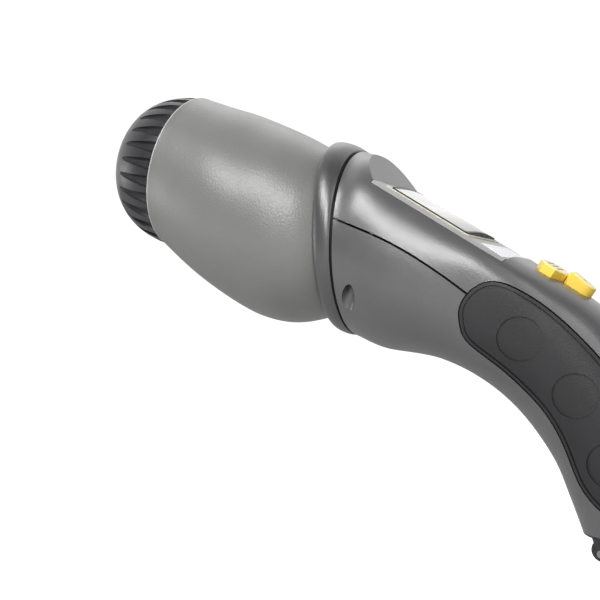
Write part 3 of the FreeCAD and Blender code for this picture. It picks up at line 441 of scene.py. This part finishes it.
# Pale panel at the lower end of the display face, wider towards the keys.
PANEL_FROM_TOP = 49.6 * MM  # from the bezel's upper edge to the panel
PANEL_FROM_END = 1.2 * MM   # from the panel to the bezel's lower edge
PANEL_HALF_TOP = 20.5 * MM
PANEL_HALF_END = 24.6 * MM
PANEL_DEPTH = 0.1 * MM
PANEL_HEIGHT = 0.15 * MM
PANEL_BEVEL = 0.1 * MM

# Printed marks on the keys: three bars across the first, one dot on the second.
BAR_PLACES = (-2.2 * MM, 0.0, 2.2 * MM)
BAR_WIDTH = 0.7 * MM
BAR_REACH = 0.9             # length of a bar as a share of half the key's width
DOT_RADIUS = 0.8 * MM
DOT_PLACE = 0.42            # share of the key's length at which the dot lies
MARK_DEPTH = 0.1 * MM       # how far a mark sinks into its key
MARK_HEIGHT = 0.04 * MM     # and stands out of it


# --- Pieces ------------------------------------------------------------------
class MARKER_OT_case(bpy.types.Operator):
    """Finish the shells, the collar, the bulb and their screws"""
    bl_idname = "marker.case"
    bl_label = "Case"

    def execute(self, context):
        s = context.scene.marker_case
        # Injection-moulded ABS from a spark-eroded mould: a fine even grain that breaks the
        # highlight into a soft band. Real grain is about 0.2 mm; it is drawn coarser to show.
        shell = moulded("spark_eroded_dark_grey_abs", s.shell, 0.30, 1.54, s.grain, s.grain_depth,
                        gloss_spread=0.015, Specular_IOR_Level=0.95)
        collar = moulded("spark_eroded_collar_abs", s.collar, 0.30, 1.54, s.grain, s.grain_depth,
                         gloss_spread=0.015, Specular_IOR_Level=1.0)
        # Soft-touch paint over leather-grained ABS: velvety, low gloss, cells that show in the
        # highlight. They are drawn at about twice their real size.
        bulb = moulded("soft_touch_grey_paint", s.bulb, 0.36, 1.5, s.bulb_grain, s.bulb_grain_depth,
                       spread=0.03, gloss_spread=0.02, cells=True, Specular_IOR_Level=0.75)
        dress(shell, "upper_shell", "lower_shell")
        dress(collar, "collar_ring")
        dress(bulb, "bulb_cover")
        # Zinc-plated steel with turned heads: a soft grey shine in fine rings.
        steel = metal("zinc_plated_screw_steel", s.screws, 0.3, 0.3 * MM, 1)
        dress(steel, "case_screws", "board_screws")
        return {"FINISHED"}


class MARKER_OT_cap(bpy.types.Operator):
    """Finish the twist cap and lay the bead round the bulb's mouth"""
    bl_idname = "marker.cap"
    bl_label = "Cap"

    def execute(self, context):
        s = context.scene.marker_cap
        # Moulded polypropylene, satin: smooth, with a slightly waxy gloss along the flutes' edges.
        cap = moulded("satin_black_polypropylene", s.cap, 0.34, 1.49, 0.8 * MM, 0.012 * MM)
        # Nitrile rubber is a flat black, and moulded acetal a slightly oily one.
        seal = moulded("nitrile_seal_rubber", s.seal, 0.5, 1.52)
        seat = moulded("black_acetal_seat", s.seal, 0.45, 1.48)
        dress(cap, "fluted_cap")
        dress(seal, "cap_seal")
        dress(seat, "cap_seat")
        joint = next(j for j in frame["record"]["behaviour"]["joints"] if j["name"] == "cap_twist")
        centre, out = Vector(joint["pos_m"]), Vector(joint["axis"])
        spots = [v.co - centre for v in NODES["bulb_cover"].data.vertices]
        mouth = max((p - out * p.dot(out)).length for p in spots if abs(p.dot(out)) < MOUTH_BAND)
        # The moulding's edge, glossy, and coloured pale to paint the bright line of light along the
        # rim: a painted highlight beside the dark cap.
        bead = moulded("pale_grey_lip_painted_highlight", s.bead, 0.25, 1.54)
        mesh = ring_mesh("bulb_lip_highlight_bead", centre + out * BEAD_LIFT, out,
                         mouth - s.bead_radius * BEAD_OVERHANG, s.bead_radius)
        piece("bulb_lip_highlight_bead", mesh, bead, "root")
        return {"FINISHED"}


class MARKER_OT_grips(bpy.types.Operator):
    """Finish the two rubber grips"""
    bl_idname = "marker.grips"
    bl_label = "Grips"

    def execute(self, context):
        s = context.scene.marker_grips
        # Moulded thermoplastic rubber with a leather grain, dull; the grain is drawn about twice
        # its real size.
        rubber = moulded("leather_grained_rubber", s.rubber, 0.45, 1.51, s.grain, 0.05 * MM)
        dress(rubber, "left_grip", "right_grip")
        return {"FINISHED"}


class MARKER_OT_display(bpy.types.Operator):
    """Finish the display face"""
    bl_idname = "marker.display"
    bl_label = "Display"

    def execute(self, context):
        s = context.scene.marker_display
        # Satin moulded frame, matt foam seal, and clear cast acrylic over a pale reflective
        # screen, which gives it a hard gloss. The foam's cells are drawn at about their real size.
        bezel = moulded("satin_light_grey_abs", s.bezel, 0.35, 1.54, 0.5 * MM, 0.01 * MM)
        gasket = moulded("cream_foam_gasket", s.gasket, 0.7, 1.5, 0.5 * MM, 0.03 * MM)
        window = moulded("clear_acrylic_over_screen", s.window, 0.12, 1.49, spread=0.01,
                         gloss_spread=0.02, Coat_Weight=0.6)
        dress(bezel, "display_bezel")
        dress(gasket, "display_gasket")
        dress(window, "display_window")
        along, out = slope(FACET_ANGLE)
        low, high, half, top = reach("display_window", FACET_START, along, out)

        def crown(v):
            return top + s.crown * (1 - (v / half) ** 2)

        mesh = crowned_mesh("window_lens", low + LENS_INSET, high - LENS_INSET, half - LENS_INSET,
                            LENS_CORNER, FACET_START, along, out, crown, top - LENS_DEPTH)
        piece("window_lens", mesh, window, "root")
        # Screen-printed ink round the lens: a flat, even black line.
        line = moulded("black_screen_printed_line", s.line, 0.4, 1.5)
        outer = rounded(low - LINE_BEYOND, high + LINE_BEYOND, half + LINE_BEYOND,
                        LENS_CORNER + LINE_BEYOND)
        inner = rounded(low + s.line_width, high - s.line_width, half - s.line_width,
                        LINE_INNER_CORNER)
        mesh = crowned_ring("window_edge_line", outer, inner, FACET_START, along, out, crown,
                            LINE_PROUD, top - LINE_DEPTH)
        piece("window_edge_line", mesh, line, "root")
        # Moulded polycarbonate with a satin face, nearly white.
        panel = moulded("pale_satin_polycarbonate_panel", s.panel, 0.3, 1.58, spread=0.02)
        start, end, _, level = reach("display_bezel", FACET_START, along, out)
        start, end = start + PANEL_FROM_TOP, end - PANEL_FROM_END
        corners = [(start, -PANEL_HALF_TOP), (end, -PANEL_HALF_END),
                   (end, PANEL_HALF_END), (start, PANEL_HALF_TOP)]
        mesh = raised_mesh("display_end_panel", [corners], FACET_START, along, out,
                           level - PANEL_DEPTH, level + PANEL_HEIGHT, PANEL_BEVEL)
        piece("display_end_panel", mesh, panel, "root")
        return {"FINISHED"}


class MARKER_OT_keys(bpy.types.Operator):
    """Finish the two keys and print their marks"""
    bl_idname = "marker.keys"
    bl_label = "Keys"

    def execute(self, context):
        s = context.scene.marker_keys
        # Translucent silicone rubber, moulded. The faces turned up to the light are painted a paler
        # yellow than the sides: a painted highlight.
        rubber = moulded("yellow_silicone_rubber", s.rubber, 0.42, 1.41, 0.6 * MM, 0.01 * MM,
                         Subsurface_Weight=0.35, Subsurface_Scale=2.5 * MM)
        along, out = slope(KEY_ANGLE)
        tree = rubber.node_tree
        shader = tree.nodes["Principled BSDF"]
        shader.inputs["Subsurface Radius"].default_value = (1.0, 0.7, 0.2)
        # Painted highlight: the more squarely a face turns up out of the key, the more of the paler
        # top colour it gets.
        normal = add(tree, "ShaderNodeTexCoord").outputs["Normal"]
        facing = add(tree, "ShaderNodeVectorMath", {0: normal}, {1: out}, operation="DOT_PRODUCT")
        share = add(tree, "ShaderNodeMapRange", {"Value": facing.outputs["Value"]},
                    {"From Min": 0.2, "From Max": 0.95})
        base = shader.inputs["Base Color"].links[0].from_socket
        painted_top_highlight = add(tree, "ShaderNodeMix", {0: share.outputs["Result"], 6: base}, {7: s.top},
                    data_type="RGBA")
        tree.links.new(painted_top_highlight.outputs[2], shader.inputs["Base Color"])
        dress(rubber, "mode_key", "print_key")
        # Pad-printing ink, thin and matt.
        mark = moulded("dark_pad_printing_ink", s.mark, 0.5, 1.5)
        low, high, half, top = reach("mode_key", KEY_CENTRE, along, out)
        middle = (low + high) / 2
        bars = [bar(middle + place, half * BAR_REACH, BAR_WIDTH) for place in BAR_PLACES]
        mesh = raised_mesh("mode_key_mark", bars, KEY_CENTRE, along, out,
                           top - MARK_DEPTH, top + MARK_HEIGHT)
        piece("mode_key_mark", mesh, mark, "mode_key")
        along, out = slope(KEY_ANGLE + PRINT_KEY_FALL)
        low, high, _, top = reach("print_key", KEY_CENTRE, along, out)
        dot = disc(low + (high - low) * DOT_PLACE, DOT_RADIUS)
        mesh = raised_mesh("print_key_mark", [dot], KEY_CENTRE, along, out,
                           top - MARK_DEPTH, top + MARK_HEIGHT)
        piece("print_key_mark", mesh, mark, "print_key")
        return {"FINISHED"}


class MARKER_OT_printing_end(bpy.types.Operator):
    """Finish the nose, the rollers and the print head"""
    bl_idname = "marker.printing_end"
    bl_label = "Printing end"

    def execute(self, context):
        s = context.scene.marker_printing_end
        # Glass-filled nylon is a dull, slightly rough black, and the rollers' rubber is ground to
        # size and so matt. The axles are ground steel, bright in fine rings, and the head is
        # brushed and anodised, a duller grey. Their textures are drawn about twice as coarse.
        nose = moulded("glass_filled_black_nylon", s.nose, 0.5, 1.53, 0.6 * MM, 0.03 * MM)
        roller = moulded("ground_roller_rubber", s.roller, 0.6, 1.52, 0.5 * MM, 0.03 * MM)
        steel = metal("ground_axle_steel", s.steel, 0.22, 0.2 * MM, 1)
        head = metal("anodised_head_aluminium", s.head, 0.38, 0.25 * MM, 2)
        dress(nose, "nose_frame")
        dress(roller, "front_roller", "rear_roller")
        dress(steel, "front_axle", "rear_axle", "nozzle_plate", "battery_contacts")
        dress(head, "print_head")
        return {"FINISHED"}


class MARKER_OT_inside(bpy.types.Operator):
    """Finish everything inside the case"""
    bl_idname = "marker.inside"
    bl_label = "Inside"

    def execute(self, context):
        # Working parts out of sight, each in what it is really made of: milky polypropylene, dull
        # black nylon, glossy glass and film, green varnish over the boards' copper, matt silicone.
        for finish, colour, roughness, ior, names in (
                ("natural_polypropylene_cartridge", "#e8e6df", 0.4, 1.49, ["ink_cartridge"]),
                ("black_moulded_nylon", "#232324", 0.5, 1.53, ["cartridge_cradle", "battery_tray"]),
                ("black_fluoroelastomer_hose", "#1c1c1d", 0.55, 1.5, ["ink_hose"]),
                ("screen_glass_and_polariser", "#8f978b", 0.15, 1.52, ["lcd_panel"]),
                ("green_solder_resist", "#1f5a36", 0.35, 1.55, ["main_board", "key_board"]),
                ("black_switch_nylon", "#202021", 0.45, 1.53, ["key_switches", "encoder_sensor"]),
                ("grey_silicone_mat", "#b5b5b2", 0.55, 1.41, ["key_mat"]),
                ("shrink_wrapped_cell", "#3c5f9a", 0.3, 1.5, ["battery_cells"]),
                ("printed_encoder_film", "#30302f", 0.25, 1.5, ["encoder_disc"])):
            dress(moulded(finish, linear(colour), roughness, ior), *names)
        brass = metal("turned_brass_valve", linear("#c9a45a"), 0.25, 0.2 * MM, 0)
        dress(brass, "docking_valve", "valve_block")
        return {"FINISHED"}


FLOOR_HALF = 6.0            # metres
FLOOR_GAP = 0.05 * MM       # the floor lies this far below the rollers
SOFTBOX_DISTANCE = 1.1      # metres from the middle of the object
SENSOR_WIDTH = 36.0         # millimetres, as the camera's own unit is
CLIP_START = 0.01
SWEEP_EDGES = (-0.15, 0.35)     # how squarely a direction faces the sweep where it starts and ends


class MARKER_OT_stage(bpy.types.Operator):
    """Set up the floor, the lights and the camera"""
    bl_idname = "marker.stage"
    bl_label = "Stage"

    def execute(self, context):
        s = context.scene.marker_stage
        low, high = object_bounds()
        middle = (low + high) / 2
        bm = bmesh.new()
        bmesh.ops.create_grid(bm, x_segments=8, y_segments=8, size=FLOOR_HALF)
        floor = bpy.data.objects.new("floor", made_mesh("floor", bm))
        floor.location = (middle.x, middle.y, low.z - FLOOR_GAP)
        context.collection.objects.link(floor)
        # Opal acrylic sheet lit from below, as on a studio table: it looks white, and throws only
        # a little of its light up at the object.
        opal = moulded("backlit_opal_acrylic", s.floor, 0.9, 1.3, spread=0.0,
                       Emission_Color=s.background)
        tree = opal.node_tree
        seen = add(tree, "ShaderNodeLightPath").outputs["Is Camera Ray"]
        glow = add(tree, "ShaderNodeMapRange", {"Value": seen},
                   {"To Min": 0.0, "To Max": s.floor_glow})
        shader = tree.nodes["Principled BSDF"]
        tree.links.new(glow.outputs["Result"], shader.inputs["Emission Strength"])
        floor.data.materials.append(opal)
        floor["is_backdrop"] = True

        world = bpy.data.worlds.new("white_surroundings")
        world.use_nodes = True
        tree = world.node_tree
        background = tree.nodes["Background"]
        background.inputs["Color"].default_value = s.background
        # A lit white sweep stands behind the object, and the room in front of it is dim.
        front = Vector((math.sin(s.camera_turn), -math.cos(s.camera_turn), 0))
        side = Vector((math.cos(s.camera_turn), math.sin(s.camera_turn), 0))
        ahead = add(tree, "ShaderNodeTexCoord").outputs["Generated"]
        facing = add(tree, "ShaderNodeVectorMath", {0: ahead}, {1: -front},
                     operation="DOT_PRODUCT")
        sweep = add(tree, "ShaderNodeMapRange", {"Value": facing.outputs["Value"]},
                    {"From Min": SWEEP_EDGES[0], "From Max": SWEEP_EDGES[1],
                     "To Min": s.sky, "To Max": s.sweep})
        seen = add(tree, "ShaderNodeLightPath").outputs["Is Camera Ray"]
        level = add(tree, "ShaderNodeMath", {0: sweep.outputs["Result"], 1: seen},
                    operation="MAXIMUM")
        tree.links.new(level.outputs["Value"], background.inputs["Strength"])
        context.scene.world = world
        context.scene.view_settings.view_transform = "Standard"

        # Each softbox: degrees round from the camera's side, degrees up, power and size.
        for name, turn, lift, power, size in (
                ("key_softbox_high", -42, 39, s.key_power * 0.5, 0.44),
                ("key_softbox_low", -18, 23, s.key_power * 0.5, 0.44),
                ("right_softbox", 34, 31, s.right_power, 0.4),
                ("back_softbox", 180, 50, s.back_power, 0.6),
                ("left_softbox", -105, 0, s.left_power, 0.5),
                ("fill_softbox", 0, 10, s.fill_power, 0.6)):
            turn, lift = math.radians(turn), math.radians(lift)
            ray = (front * math.cos(turn) + side * math.sin(turn)) * math.cos(lift)
            ray.z = math.sin(lift)
            light = bpy.data.lights.new(name, "AREA")
            light.energy, light.size = power, size
            holder = bpy.data.objects.new(name, light)
            holder.location = middle + ray * SOFTBOX_DISTANCE
            holder.rotation_euler = (-ray).to_track_quat("-Z", "Y").to_euler()
            context.collection.objects.link(holder)

        camera = bpy.data.objects.new("camera", bpy.data.cameras.new("camera"))
        camera.data.lens = s.lens
        camera.data.sensor_width = SENSOR_WIDTH
        camera.data.clip_start = CLIP_START
        camera.location = s.camera_place
        camera.rotation_euler = (math.radians(90.0), 0.0, s.camera_turn)
        context.collection.objects.link(camera)
        context.scene.camera = camera
        return {"FINISHED"}


OPERATORS = [MARKER_OT_case, MARKER_OT_cap, MARKER_OT_grips, MARKER_OT_display, MARKER_OT_keys,
             MARKER_OT_printing_end, MARKER_OT_inside, MARKER_OT_stage]


class MARKER_PT_panel(bpy.types.Panel):
    """Pieces of the label marker"""
    bl_idname = "MARKER_PT_panel"
    bl_label = "Label marker"
    bl_space_type = "VIEW_3D"
    bl_region_type = "UI"
    bl_category = "Label marker"

    def draw(self, context):
        for operator in OPERATORS:
            self.layout.operator(operator.bl_idname)


def register():
    for name, group in SETTINGS.items():
        bpy.utils.register_class(group)
        setattr(bpy.types.Scene, name, PointerProperty(type=group))
    for cls in OPERATORS + [MARKER_PT_panel]:
        bpy.utils.register_class(cls)


def unregister():
    for cls in [MARKER_PT_panel] + OPERATORS[::-1]:
        bpy.utils.unregister_class(cls)
    for name, group in SETTINGS.items():
        delattr(bpy.types.Scene, name)
        bpy.utils.unregister_class(group)


def main():
    register()
    for operator in OPERATORS:
        group, name = operator.bl_idname.split(".")
        getattr(getattr(bpy.ops, group), name)()


if __name__ == "__main__":
    main()
